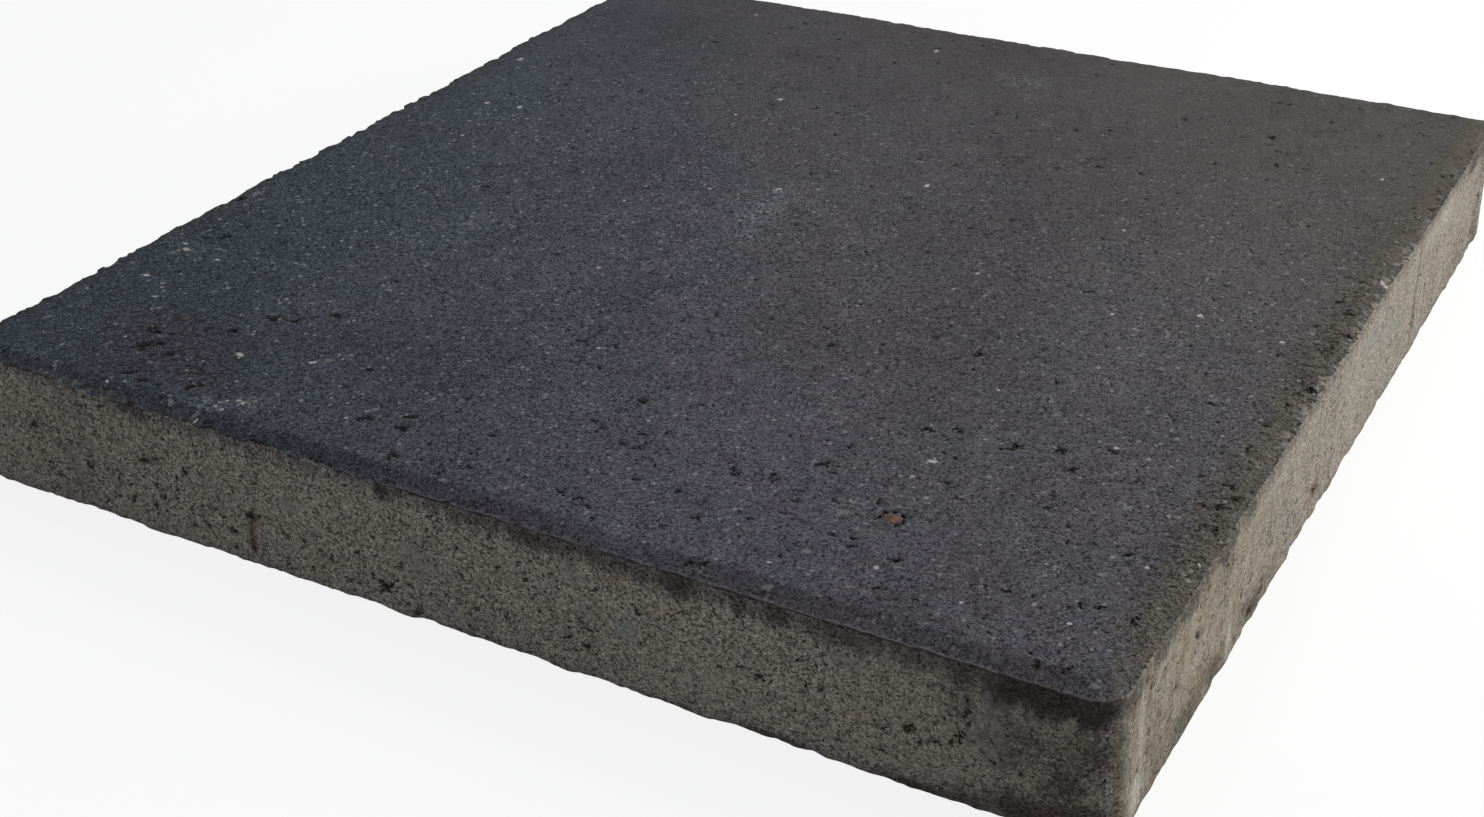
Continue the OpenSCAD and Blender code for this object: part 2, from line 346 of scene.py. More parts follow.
# Rust and damp, in the same form
STAINS = on(front, [
    (-98.5, 13, 2.8, 9, 1), (-96, 22, 4, 3, 0.8), (-149, 34, 12, 4, 0.4), (-87, 37, 4, 3, 0.4),
    (56, 14, 4, 3, 0.5), (235, 6, 22, 8, 0.35), (190, 2, 14, 3, 0.3), (86, 34, 2, 3, 0.5),
    (53, 23, 4, 3, 0.3),
]) + on(right, [
    (-40, 12, 12, 8, 0.6), (-208, 20, 11, 10, 0.4), (-152, 8, 12, 8, 0.5), (-116, 8, 16, 7, 0.55),
    (-244, 38, 6, 16, 0.35), (-220, 28, 6, 5, 0.35), (-28, 14, 12, 14, 0.25), (130, 20, 22, 14, 0.16),
    (190, 22, 12, 10, 0.3), (226, 22, 8, 10, 0.4), (-178, 36, 5, 3, 0.5), (-228, 52, 6, 4, 0.5),
    (205, 36, 12, 8, 0.3), (-128, 10, 12, 8, 0.35), (-20, 30, 5, 28, 0.15),
])
# Places that darken a side, in the same form
SIDE_DARKENING = on(front, [
    (215, 53, 7, 6, 0.8), (228, 54, 13, 7, 1), (243, 52, 9, 7, 0.8), (36, 55, 30, 3, 0.25),
    (95, 54, 8, 4, 0.4), (-29, 54, 5, 4, 0.5), (-150, 55, 9, 3, 0.45), (222, 6, 22, 9, 0.8),
    (238, 9, 18, 11, 0.75), (242, 34, 16, 26, 0.52), (222, 34, 22, 20, 0.5), (234, 48, 16, 8, 0.3),
    (233, 22, 15, 13, 0.62), (198, 44, 12, 16, 0.42), (182, 1, 16, 4, 0.75), (200, 3, 12, 6, 0.6),
    (128, 1, 22, 3, 0.6), (86, 0, 14, 2.5, 0.4), (-205, 34, 40, 34, 0.25), (-190, 48, 28, 9, 0.3),
    (-190, 8, 26, 9, 0.3), (160, 42, 18, 12, 0.16),
]) + on(right, [
    (-186, 6, 24, 10, 0.46), (-158, 7, 12, 8, 0.46), (-113, 6, 16, 6, 0.5), (-212, 8, 12, 10, 0.3),
    (-236, 54, 8, 4, 0.15), (-150, 46, 14, 10, 0.31), (-247, 34, 5, 40, 0.18), (-238, 44, 8, 10, 0.2),
    (-216, 14, 8, 14, 0.2), (-110, 6, 40, 8, 0.3), (-20, 30, 3, 40, 0.3), (106, 30, 3, 34, 0.44),
    (225, 24, 8, 14, 0.35), (205, 54, 16, 7, 0.36), (190, 6, 34, 10, 0.31), (182, 52, 20, 9, 0.3),
    (228, 44, 16, 18, 0.42), (226, 8, 16, 12, 0.5),
])
# Pale lime streaks, in the same form
LIME = on(front, [
    (247, 20, 2, 14, 0.3), (100, 12, 44, 14, 0.17), (-65, 24, 34, 30, 0.05),
]) + on(right, [
    (-229, 36, 2.2, 22, 0.6), (-231, 10, 5.8, 11, 1), (-142, 34, 2.5, 20, 0.3), (-141, 8, 2.4, 7, 1),
    (-206, 49, 9, 4, 0.45), (-184, 30, 26, 18, 0.15), (35, 52, 40, 6, 0.14), (-90, 50, 60, 6, 0.13),
    (150, 50, 40, 8, 0.3), (-244, 32, 4.5, 22, 0.1), (5, 32, 34, 20, 0.15), (100, 26, 60, 14, 0.05),
]) + [
    (QUARTER * 2.2, 30, 3, 40, 0.6), (QUARTER * 2.62, 24, 4, 30, 0.5), (QUARTER * 3.3, 40, 4, 30, 0.5),
    (QUARTER * 3.8, 20, 3, 30, 0.5),
]
# The mask that each of these lists steers on the sides
SIDE_MASKS = {"drag": DRAGS, "slurry": SLURRY, "stain": STAINS, "grime": SIDE_DARKENING, "lime": LIME}


# ---------------------------------------------------------------- surfaces

def bumps(p, *layers):
    """Layers of noise on top of each other. A layer is (height, size, seed)."""
    return sum(height * noise(p, size, seed) for height, size, seed in layers)


def arris_loss(xy):
    """Millimetres lost at the top arris beside places (n, 2)."""
    x, y = xy.T
    p = at_height(xy, 0)
    left, back = ramp(x, 16 - HALF, 12 - HALF), ramp(y, HALF - 16, HALF - 12)
    front_left = ramp(x, 110, -20) * ramp(y, 20 - HALF, 16 - HALF)
    right_far = ramp(x, HALF - 16, HALF - 12) * ramp(y, -130, -70)
    right_far *= np.maximum(ramp(y, 100, 40), 0.15)
    worn = np.maximum(left, np.maximum(0.75 * front_left, 0.4 * right_far))
    waves = bumps(p, (0.9, 19, 11), (0.5, 40, 14)) * (1 - 0.6 * worn)
    crumbs = (0.8 + 1.6 * worn) * noise(p, 5, 12) + (0.5 + 1.5 * worn) * noise(p, 2.6, 13)
    share = 0.5 + 0.7 * worn + 0.2 * back + 0.8 * front_left
    ragged = (waves + crumbs) * share + 0.3 * left + 0.1 * front_left - 0.1
    return np.clip(ragged, 0, 3) + near(xy, ARRIS_CHIPS)


def top_height(xy):
    """Height of the wearing face and bevel, without single marks."""
    x, y = xy.T
    p = at_height(xy, 0)
    depth = inset(xy)
    slope = BEVEL_DEPTH / (BEVEL_WIDTH - FIN_WIDTH)
    out = BEVEL_WIDTH - depth
    soft = slope * (BEVEL_BLEND + out) ** 2 / (4 * BEVEL_BLEND)
    bevel = np.where(out > BEVEL_BLEND, slope * out, np.where(out > -BEVEL_BLEND, soft, 0))
    waves = 0.26 + bumps(p, (0.12, 90, 1), (0.08, 30, 2))
    # The face is crumbly beside the right and left arrises and at the front left
    crumbly = np.maximum(0.8 * ramp(x, HALF - 22, HALF - 8), ramp(x, 12 - HALF, 6 - HALF))
    crumbly = np.maximum(crumbly, ramp(x, -60, -140) * ramp(y, 14 - HALF, 6 - HALF))
    grit = bumps(p, (0.1, 5, 3), (0.12, 2.4, 4)) * (1 + 1.4 * hump(depth, 9) + 1.3 * crumbly)
    return np.minimum(TOP, TOP - waves - bevel + grit - arris_loss(xy) * hump(depth, 2.6))


def side_depth(s, z):
    """How far the side lies inside the outline at places (s, z), without single marks."""
    xy = outline(s)[0]
    p = at_height(xy, z)
    dragged = noise(p * (1, 1, 0.12), 5, 22)
    depth = 0.22 + 0.16 * dragged + bumps(p, (0.18, 45, 21), (0.12, 6, 23), (0.16, 2.6, 24))
    depth -= 0.15 * hump(z, 8)
    foot = hump(z, 1.6) * (0.15 + 0.5 * noise(at_height(xy, 0), 8, 25))
    shoulder = 0.7 * arris_loss(xy) * hump(LEDGE - z, 3.5)
    return np.clip(depth + foot + shoulder, 0, None)


def foot_height(s):
    """Height of the side's lower edge, which is ragged and stands on a few feet."""
    p = at_height(outline(s)[0], 0)
    ragged = 0.75 + bumps(p, (0.4, 30, 31), (0.45, 6, 32), (0.3, 2.4, 33))
    return np.clip(ragged - 0.8 * near(at_height(s, 0), FEET), 0, 1.8)


def side_place(s, z, sunk=0.0):
    """Points (n, 3) on the side; z counts from the ragged lower edge near it."""
    point, out = outline(s)
    depth = np.clip(side_depth(s, z) + sunk, 0, None)
    height = z + foot_height(s) * np.clip(1 - z / 6, 0, 1)
    return np.c_[point - out * depth[:, None], height]


def underside(xy):
    """Height of the bed face, which is rough but level."""
    p = at_height(xy, 0)
    return np.clip(0.6 + bumps(p, (0.35, 26, 51), (0.3, 9, 52), (0.2, 5, 53)), 0.05, None)


def seam(xy):
    """Height of the flat face between the two layers."""
    return np.full(len(xy), SEAM)


# ---------------------------------------------------------------- marks

def scatter(count, low, high, radii, taken, depth, stretch, lean=None):
    """Up to that many random marks, clear of each other and of those in taken, which
    they join. They lie at any angle, or mostly at lean."""
    first = len(taken)
    place = np.array([m[:2] for m in taken])
    reach = np.array([m[2] * m[3] ** 0.5 for m in taken])
    for _ in range(count):
        r = radii[0] + (radii[1] - radii[0]) * RNG.random() ** 2.2
        u, v = RNG.uniform(low, high)
        if np.any(np.hypot(place[:, 0] - u, place[:, 1] - v) < 1.5 * (reach + r) + 0.3):
            continue
        angle = RNG.uniform(0, 180) if lean is None else RNG.normal(lean, 30)
        taken.append((u, v, r, RNG.uniform(1, stretch), angle, depth * r))
        place = np.vstack([place, (u, v)])
        reach = np.append(reach, r * 1.2)
    return taken[first:]


def broken(pits):
    """The same pits, each with smaller ones beside the larger, which make it ragged."""
    more = list(pits)
    for u, v, r, stretch, angle, depth in pits:
        for side in (-1, 1) if r >= 1 else ():
            away = side * r * stretch ** 0.5 * RNG.uniform(0.8, 1.25)
            more.append((*beside((u, v), away, angle + RNG.uniform(-50, 50)),
                         r * RNG.uniform(0.4, 0.75), RNG.uniform(1, 2.4),
                         RNG.uniform(0, 180), 0.7 * depth))
    return more


def mark_points(mark, kind):
    """One mark's points round its place, how deep each lies, and how fully it is marked.
    A pit is jagged, and a grain rounded."""
    u, v, r, stretch, angle, depth = mark
    jag = 0.36 if kind == "pit" else 0.14
    # Each ring: share of the radius, points, share of the depth, how fully marked
    rings = [(0, 1, 1, 1), (0.62, 6, 0.85, 1), (1, 9, 0, 0.3)]
    if r > 1.25:
        rings[1:2] = [(0.4, 6, 1, 1), (0.78, 9, 0.7, 0.9)]
    c, k = math.cos(math.radians(angle)), math.sin(math.radians(angle))
    rows = []
    for share, count, sunk, full in rings:
        a = np.arange(count) * 2 * math.pi / count + RNG.uniform(0, 6)
        d = r * share * RNG.uniform(1 - jag, 1 + jag, count)
        x, y = d * np.cos(a) * stretch ** 0.5, d * np.sin(a) / stretch ** 0.5
        rows.append(np.c_[u + x * c - y * k, v + x * k + y * c, np.full(count, sunk * depth),
                          np.full(count, full * min(1, 0.5 + r / 2))])
    return np.vstack(rows)


# ---------------------------------------------------------------- triangulated sheets

def sheet(border, lines, spacing, marks):
    """Triangulates the region inside border (n, 2). Its points are the border, then the
    lines and a jittered grid, which leave room for the marks, then the marks. Returns
    places (n, 2), triangles, how deep each point is sunk, and {kind: mask}."""
    low, high = border.min(axis=0), border.max(axis=0)
    steps = np.maximum(1, np.round((high - low) / spacing)).astype(int)
    gu, gv = np.meshgrid(*(np.linspace(l, h, n, endpoint=False) + (h - l) / n / 2
                           for l, h, n in zip(low, high, steps)))
    grid = np.c_[gu.ravel(), gv.ravel()]
    grid += RNG.uniform(-0.3, 0.3, grid.shape) * spacing
    free = np.vstack([lines, grid])
    keep = np.ones(len(free), bool)
    for u, v, r, stretch, *_ in (m for group in marks.values() for m in group):
        room = 1.3 * r * stretch ** 0.5 + 0.25
        keep &= np.hypot(free[:, 0] - u, free[:, 1] - v) >= room
    blocks = [np.vstack([mark_points(m, kind) for m in group]) for kind, group in marks.items()]
    marked = np.vstack([np.zeros((0, 4)), *blocks])
    places = np.vstack([border, free[keep], marked[:, :2]])
    loop = [(n, (n + 1) % len(border)) for n in range(len(border))]
    points = [Vector(p) for p in places]
    _, _, faces, origin, _, _ = delaunay_2d_cdt(points, loop, [], 1, 1e-7)
    faces = np.array([o[0] for o in origin])[np.array(faces)]
    start = len(places) - len(marked)
    sunk = np.r_[np.zeros(start), marked[:, 2]]
    masks = {}
    for kind, block in zip(marks, blocks):
        masks[kind] = np.zeros(len(places))
        masks[kind][start:start + len(block)] = block[:, 3]
        start += len(block)
    return places, faces, sunk, masks


def rows_inside(rows, jitter=0.0):
    """Rows of points along the outline. A row is (how far inside it, gap)."""
    points = []
    for depth, gap in rows:
        s = np.arange(0, OUTLINE, gap)
        at, out = outline(s)
        shift = jitter * RNG.uniform(-1, 1, len(s)) if jitter else np.zeros(len(s))
        points.append(at - out * (depth + shift)[:, None])
    return np.vstack(points)


def strip(rows):
    """Triangles between closed rows of point numbers, outermost side to the right."""
    faces = []
    for a, b in zip(rows, rows[1:]):
        a2, b2 = np.roll(a, -1), np.roll(b, -1)
        faces += [np.c_[a, b, b2], np.c_[a, b2, a2]]
    return np.vstack(faces)


def fill(points, ring, spacing, up, height):
    """Closes a piece with a face inside a ring of point numbers, which run along the
    outline. Returns the points with the new ones added, and the new triangles."""
    lines = rows_inside(((2.6, 2), (5.1, 3.5), (9.6, 6)))
    flat, faces, _, _ = sheet(points[ring, :2], lines, spacing, {})
    inner = flat[len(ring):]
    number = np.r_[ring, len(points) + np.arange(len(inner))]
    faces = number[faces]
    return np.vstack([points, np.c_[inner, height(inner)]]), faces if up else faces[:, ::-1]


def padded(values, points):
    """The values with zeros after them, one for each of the other points."""
    return np.r_[values, np.zeros(len(points) - len(values))]


def side_masks(s, z):
    """The listed masks of a side, at places (s, z)."""
    return {kind: near(at_height(s, z), places) for kind, places in SIDE_MASKS.items()}


def add_object(name, data):
    """A new object in the scene."""
    thing = bpy.data.objects.new(name, data)
    bpy.context.scene.collection.objects.link(thing)
    return thing


def make_piece(name, points, faces, masks, node):
    """One mesh object, smooth, with a float attribute for each mask."""
    used = np.unique(faces)
    renumber = np.full(len(points), -1)
    renumber[used] = np.arange(len(used))
    mesh = bpy.data.meshes.new(name)
    mesh.from_pydata(points[used] * MM, [], renumber[faces].tolist())
    for kind, values in masks.items():
        mask = mesh.attributes.new(kind, "FLOAT", "POINT")
        mask.data.foreach_set("value", values[used].astype(np.float32))
    mesh.polygons.foreach_set("use_smooth", np.ones(len(mesh.polygons), bool))
    mesh.validate()
    mesh.update()
    piece = add_object(name, mesh)
    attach(piece, "root")
    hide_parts(node)
    return piece


# ---------------------------------------------------------------- the facing layer

def build_facing():
    # The wearing face and the bevel
    point, out = outline(COLUMN_S)
    edge = side_depth(COLUMN_S, np.full(COLUMNS, LEDGE))
    border = point - out * (FIN_WIDTH + edge)[:, None]
    lines = rows_inside(((2.3, 1.17), (3.5, 1.26), (4.8, 1.44), (6.2, 1.53), (7.6, 1.8),
                         (8.6, 2), (9.5, 2), (10.4, 2.4)), 0.25)
    marks = {"pit": broken(TOP_PITS) + PEBBLE_GAPS, "pale": TOP_GRAINS, "brown": [PEBBLE]}
    taken = marks["pit"] + marks["pale"] + marks["brown"] + DULL_GRAINS
    reach = np.full(2, HALF - 3)
    marks["pit"] += scatter(900, -reach, reach, (0.4, 1.05), taken, 0.8, 3.2)
    marks["dull"] = DULL_GRAINS + scatter(420, -reach, reach, (0.4, 0.95), taken, -0.08, 1.8)
    places, faces, sunk, masks = sheet(border, lines, 3, marks)
    height = top_height(places) - sunk
    points = [np.c_[places, np.minimum(height, TOP)]]

    # The fin, whole, worn or gone, in rows of (share of its width, share of its height)
    p = at_height(point, 0)
    stands = near(point, FIN_STANDS) * (0.75 + bumps(p, (0.5, 4, 41), (0.35, 15, 42)))
    stands = np.clip(stands, 0, 1.25) * np.clip(1 - arris_loss(point) / 0.9, 0, 1)
    low = height[:COLUMNS]
    gone = 1 - np.clip(stands * 2, 0, 1)
    lip = [np.zeros(len(places))]
    for share, rise in ((0.72, 0.8), (0.35, 1), (0.1, 0.75)):
        z = low + FIN_HEIGHT * stands * rise - gone * (0.72 - share) * 0.5
        points.append(np.c_[point - out * (edge + FIN_WIDTH * share)[:, None], z])
        lip.append(np.clip(stands, 0, 1) * min(1, rise * 1.1))

    # The side down to the seam, and the seam
    shoulder = low - 0.35 - 0.35 * (1 - np.clip(stands, 0, 1))
    heights = [shoulder] * len(points)
    for share in np.linspace(0, 1, 8):
        heights.append(shoulder + (SEAM - shoulder) * share)
        points.append(side_place(COLUMN_S, heights[-1]))
    rows = [np.arange(COLUMNS)]
    rows += [len(places) + n * COLUMNS + rows[0] for n in range(len(points) - 1)]
    points, floor = fill(np.vstack(points), rows[-1], 30, False, seam)
    faces = np.vstack([faces, strip(rows), floor])

    # The first of the side's rows is the sheet's border, and the others follow the sheet
    masks = {kind: padded(values, points) for kind, values in masks.items()}
    on_top = np.zeros(len(places) - COLUMNS)
    sides = side_masks(np.tile(COLUMN_S, len(heights)), np.concatenate(heights))
    for kind, values in sides.items():
        masks[kind] = padded(np.r_[values[:COLUMNS], on_top, values[COLUMNS:]], points)
    masks["slurry"][:len(places)] = near(places, SCUFFS)
    masks["grime"][:len(places)] = near(places, TOP_DIRT)
    masks["face"] = padded(np.ones(len(places)), points)
    masks["lip"] = padded(np.concatenate(lip), points)
    return make_piece("facing_concrete", points, faces, masks, "facing_layer")


# ---------------------------------------------------------------- the backing layer

def build_backing():
    # The sides, unrolled to a rectangle
    levels = np.arange(1.25, SEAM - 1, 1.25)
    bottom, upper = at_height(COLUMN_S, 0), at_height(COLUMN_S, SEAM)[::-1]
    start, end = np.c_[0 * levels, levels][::-1], np.c_[0 * levels + OUTLINE, levels]
    border = np.vstack([bottom, [(OUTLINE, 0)], end, [(OUTLINE, SEAM)], upper, start])
    row_s = np.arange(1, OUTLINE - 1, 1.5)
    lines = np.vstack([at_height(row_s, z) for z in (1, 2.2, 3.6, SEAM - 1.3)])
    marks = {"pit": broken(SIDE_PITS), "pale": SIDE_GRAINS}
    taken = marks["pit"] + marks["pale"]
    low, middle, high = (2, 4.5), (OUTLINE - 2, 24), (OUTLINE - 2, SEAM - 2.5)
    marks["pit"] += scatter(330, low, middle, (0.4, 1.1), taken, 0.9, 3.8, 22)
    marks["pit"] += scatter(420, low, high, (0.4, 0.9), taken, 0.8, 3.2, 22)
    marks["dull"] = scatter(200, low, high, (0.5, 1.1), taken, -0.08, 1.8)
    places, faces, sunk, masks = sheet(border, lines, 2.3, marks)

    # The two ends of the unrolled side are one line
    home = np.arange(len(places))
    corner = COLUMNS + 1 + len(levels)
    home[COLUMNS] = 0
    home[COLUMNS + 1:corner] = len(border) - 1 - np.arange(len(levels))
    home[corner] = corner + COLUMNS
    faces = home[faces]
    s, z = places.T
    points = side_place(s, z, sunk)
    points, under = fill(points, np.arange(COLUMNS), 9, False, underside)
    points, over = fill(points, corner + 1 + np.arange(COLUMNS)[::-1], 30, True, seam)
    faces = np.vstack([faces, under, over])
    masks = {kind: padded(values, points) for kind, values in {**masks, **side_masks(s, z)}.items()}
    return make_piece("backing_concrete", points, faces, masks, "backing_layer")


facing = build_facing()
backing = build_backing()


# ---------------------------------------------------------------- materials

class Nodes:
    """Builds the nodes of a tree. Sizes in textures are millimetres."""

    def __init__(self, tree):
        self.tree = tree

    def add(self, kind, values, **settings):
        """Adds a node, links or sets its inputs by name or number, and returns its outputs."""
        node = self.tree.nodes.new("ShaderNode" + kind)
        for key, value in settings.items():
            setattr(node, key, value)
        for key, value in values.items():
            if isinstance(value, bpy.types.NodeSocket):
                self.tree.links.new(value, node.inputs[key])
            elif node.inputs[key].type == "RGBA" and len(value) == 3:
                node.inputs[key].default_value = (*value, 1)
            else:
                node.inputs[key].default_value = value
        return node.outputs

    def math(self, operation, a, b=0.0, c=0.0, clamp=False):
        return self.add("Math", {0: a, 1: b, 2: c}, operation=operation, use_clamp=clamp)[0]

    def times(self, whole, *others):
        """The product of the values."""
        for other in others:
            whole = self.math("MULTIPLY", whole, other)
        return whole

    def total(self, *terms):
        """The sum of the terms, each a value or a (value, weight)."""
        whole = 0.0
        for term in terms:
            value, weight = term if isinstance(term, tuple) else (term, 1)
            whole = self.math("MULTIPLY_ADD", value, weight, whole)
        return whole

    def fade(self, mask, amount=1.0):
        """Goes from 1 down by that amount as the mask goes from 0 to 1."""
        return self.math("MULTIPLY_ADD", mask, -amount, 1)

    def step(self, value, low, high, a=0.0, b=1.0):
        """Goes smoothly from a to b as value goes from low to high."""
        ends = {"From Min": low, "From Max": high, "To Min": a, "To Max": b}
        return self.add("MapRange", {"Value": value, **ends}, interpolation_type="SMOOTHSTEP")[0]

    def noise(self, place, size, detail=2.0, rough=0.55):
        """Noise about 0, mostly between -0.3 and 0.3."""
        shape = {"Scale": 1 / size, "Detail": detail, "Roughness": rough}
        return self.math("SUBTRACT", self.add("TexNoise", {"Vector": place, **shape})[0], 0.5)

    def stretched(self, place, factors, axis=None, angle=0.0):
        """Places turned about the axis, then multiplied by the factors."""
        if axis:
            turn = {"Vector": place, "Axis": axis, "Angle": angle}
            place = self.add("VectorRotate", turn, rotation_type="AXIS_ANGLE")[0]
        return self.add("VectorMath", {0: place, 1: factors}, operation="MULTIPLY")[0]

    def mix(self, share, a, b, mode="MIX"):
        """Mixes two colours."""
        return self.add("Mix", {0: share, 6: a, 7: b}, data_type="RGBA", blend_type=mode)[2]

    def paint(self, base, *coats):
        """The base with colours over it, one after another. A coat is a colour and the
        values that multiply to its share."""
        for colour, *shares in coats:
            base = self.mix(self.times(*shares), base, colour)
        return base

    def tinted(self, colour, by):
        return self.mix(1, colour, by, "MULTIPLY")

    def shaded(self, colour, shade):
        return self.tinted(colour, self.add("CombineColor", dict.fromkeys(range(3), shade))[0])

    def mask(self, name):
        return self.add("Attribute", {}, attribute_name=name)["Fac"]


def new_material(name):
    """A material and the builder for its empty tree."""
    material = bpy.data.materials.new(name)
    material.use_nodes = True
    material.node_tree.nodes.clear()
    return material, Nodes(material.node_tree)


FACING_BLUE = (0.051, 0.063, 0.079)
FACING_PLUM = (0.071, 0.07, 0.083)
FACING_BROWN = (0.075, 0.07, 0.07)
ARRIS_BROWN = (0.074, 0.067, 0.056)
ARRIS_SHADE = (0.014, 0.0085, 0.0095)
ARRIS_DUST = (0.42, 0.38, 0.33)
WORN_GREY = (0.15, 0.152, 0.14)
FIN_GREY = (0.15, 0.143, 0.14)
DRAGGED_FACING = (0.053, 0.049, 0.053)
FLECK = (0.27, 0.27, 0.28)
SCUFF = (0.28, 0.31, 0.33)
# Painted shade for the dark insides of pores, pits and cracks on the facing
PORE_SHADE = (0.011, 0.01, 0.009)
BACKING_GREY = (0.303, 0.276, 0.238)
BACKING_BROWN = (0.294, 0.253, 0.211)
BACKING_UMBER = (0.27, 0.217, 0.163)
SLURRY_GREY = (0.292, 0.288, 0.258)
LIME_CREAM = (0.73, 0.68, 0.57)
SAND = (0.45, 0.42, 0.37)
# Darker colour toward the foot of the sides
FOOT_DARKER = (0.075, 0.07, 0.058)
# Painted shade for the dark insides of crevices, pores and pits on the sides
CREVICE_SHADE = (0.04, 0.032, 0.026)
SIDE_PORE_SHADE = (0.03, 0.023, 0.019)
DULL_GRAIN = (0.17, 0.17, 0.17)
GRAIN = (0.46, 0.44, 0.43)
RUST = (0.095, 0.04, 0.024)
TOP_SOIL = (0.046, 0.04, 0.043)
# Colour of the places that darken a side
SIDE_DARKER_TONE = (0.045, 0.0395, 0.0335)
PEBBLE_BROWN = (0.105, 0.058, 0.04)
PEBBLE_ORANGE = (0.2, 0.098, 0.055)
MORE_PLUM, MORE_YELLOW = (1.13, 0.88, 1), (1.01, 1, 0.94)
GREY_GRAIN = 0.5 * 0.068         # how much of the facing's grain is added as plain grey


def concrete(name):
    """Both layers' concrete. Which of the two shows follows from the height on the side,
    with the facing dragged down in ragged streaks, so that the two pieces match."""
    material, n = new_material(name)
    metres = n.add("TexCoord", {})["Object"]
    place = n.add("VectorMath", {0: metres, "Scale": 1 / MM}, operation="SCALE")[0]
    streaks = n.stretched(place, (1, 1, 0.09))
    x, y, z = n.add("SeparateXYZ", {0: place})
    pit, pale, dull, brown, lip, face, drag, slurry, stain, grime, lime = (
        n.mask(m) for m in "pit pale dull brown lip face drag slurry stain grime lime".split())

    def cells(size):
        """Sand grains of that size: how far a place is from its grain's middle, and two
        random values from 0 to 1 for the grain."""
        distance, colour, *_ = n.add("TexVoronoi", {"Vector": place, "Scale": 1 / size})
        return distance, *n.add("SeparateColor", {0: colour})[:2]

    # Where the facing ends on the sides
    on_right = n.step(x, HALF - 4, HALF - 1)
    near_right = n.times(n.step(y, -60, -170), on_right)
    far_right = n.math("SUBTRACT", on_right, near_right)
    on_front = n.step(y, 3.0 - HALF, 1.0 - HALF)
    line = n.total((n.noise(streaks, 6), 7), (n.noise(streaks, 1.8), 6),
                   (n.noise(place, 2), 3), (drag, -1), (on_right, 2))
    lowest = n.math("ADD", on_right, LEDGE - 0.9)
    gap = n.math("SUBTRACT", z, n.math("MINIMUM", n.math("ADD", line, TOP - 3.2), lowest))
    smear = n.step(n.total(gap, (n.noise(streaks, 2.4, 3), 9)), -6.5, 0.5, 0, 0.55)
    smear = n.times(smear, n.fade(n.times(on_front, n.step(x, 80, -20, 0, 0.12))))

    # Grains of several sizes
    _, sand, hue = cells(0.95)
    _, dust, _ = cells(0.5)
    sand, dust = n.math("SUBTRACT", sand, 0.5), n.math("SUBTRACT", dust, 0.5)
    small, middle = n.noise(place, 0.85), n.noise(place, 2.2)
    broad, widest = n.noise(place, 14, 3), n.noise(place, 90, 3)
    tint = n.noise(place, 3, 3, 0.7)
    far, _, kind = cells(2.1)
    core = n.step(n.total(far, (small, 0.6)), 0.42, 0.3)
    speck = n.times(core, n.step(kind, 0.9, 0.98))
    hole = n.times(core, n.math("LESS_THAN", kind, 0.1))
    far, _, kind = cells(4.4)
    flake = n.times(n.step(n.total(far, (small, 0.5)), 0.24, 0.15), n.step(kind, 0.88, 0.96))
    corner = n.step(n.total(x, (y, 0.75)), -60, -330)
    holes = n.noise(place, 3, 4, 0.66)
    open_top = n.step(n.total(holes, (broad, 0.3), (corner, -0.035)), -0.165, -0.19)
    slits = n.noise(n.stretched(place, (0.5, 0.8, 1.3), (0, 1, 0), 0.45), 2.8, 4, 0.64)
    slits = n.total(slits, (broad, 0.35), (near_right, -0.035), (on_right, 0.01))
    open_side = n.step(slits, -0.17, -0.2)

    # The facing's edge is soft and grainy, and thin at its lower side
    ragged = n.total(gap, (small, 2.5), (middle, 3), (n.noise(streaks, 1.3), 5))
    dark = n.times(n.step(ragged, -2.8, 0.8), n.step(drag, 1, 6.5, 0.5, 0.78))
    above = n.step(n.math("SUBTRACT", z, on_right), LEDGE - 1.3, LEDGE - 0.6)
    for other in (smear, face, above):
        dark = n.math("MAXIMUM", dark, other)

    # The dark facing: its hue
    across = n.total(x, (y, 0.3), (tint, 110), (widest, 200))
    facing = n.mix(n.step(across, -290, 60), FACING_BLUE, FACING_PLUM)
    across = n.total((x, 0.8), (y, 0.9), (tint, 110), (broad, 200))
    facing = n.mix(n.step(across, -170, 290), facing, FACING_BROWN)
    patch, spot = (n.step(n.noise(place, size), -0.12, 0.12) for size in (26, 5))
    for share, one, other in ((hue, (1.04, 0.984, 0.996), (0.964, 1.012, 1.004)),
                              (patch, (0.98, 1.01, 1), (1.02, 0.99, 1)),
                              (spot, (0.985, 1.01, 0.995), (1.015, 0.99, 1.005))):
        facing = n.tinted(facing, n.mix(share, one, other))
    right_rim = n.total(x, (middle, 14), (broad, 20), (n.step(y, -205, -240), -8))
    right_rim = n.step(right_rim, HALF - 22, HALF - 7)
    below = n.times(n.step(z, LEDGE - 0.2, LEDGE - 0.9), n.fade(face))
    facing = n.paint(facing, (ARRIS_BROWN, right_rim, 0.8), (DRAGGED_FACING, below, 0.9))

    # Its shade
    # Darker toward the front left corner: partly the facing's own tone, partly painted shade where the
    # light is weaker
    corner_tone_and_shade = n.total(x, (y, 0.75), (widest, 120))
    corner_tone_and_shade = n.step(corner_tone_and_shade, -330, -90, 0.81, 1.03)
    grit = n.total((sand, 1.1), (dust, 1.9), (small, 0.6), (middle, 0.22))
    grit = n.times(grit, n.step(y, -60, HALF, 1, 0.34), n.step(x, -180, 160, 1.04, 0.8))
    shade = n.total((grit, 0.5), (broad, 0.28), (widest, 0.3),
                    (n.times(below, n.noise(streaks, 1.6)), 1.3))
    back_dark = n.step(y, -60, HALF + 40, 1, 0.88)
    facing = n.shaded(facing, n.times(n.math("ADD", shade, 1.06), corner_tone_and_shade, back_dark))
    # Half of the grain's contrast is added as grey, since light grains are less blue
    plain = n.times(grit, corner_tone_and_shade, GREY_GRAIN)
    facing = n.add("VectorMath", {0: facing, 1: plain}, operation="ADD")[0]
    facing = n.add("VectorMath", {0: facing, 1: (0.006, 0.006, 0.006)}, operation="MAXIMUM")[0]
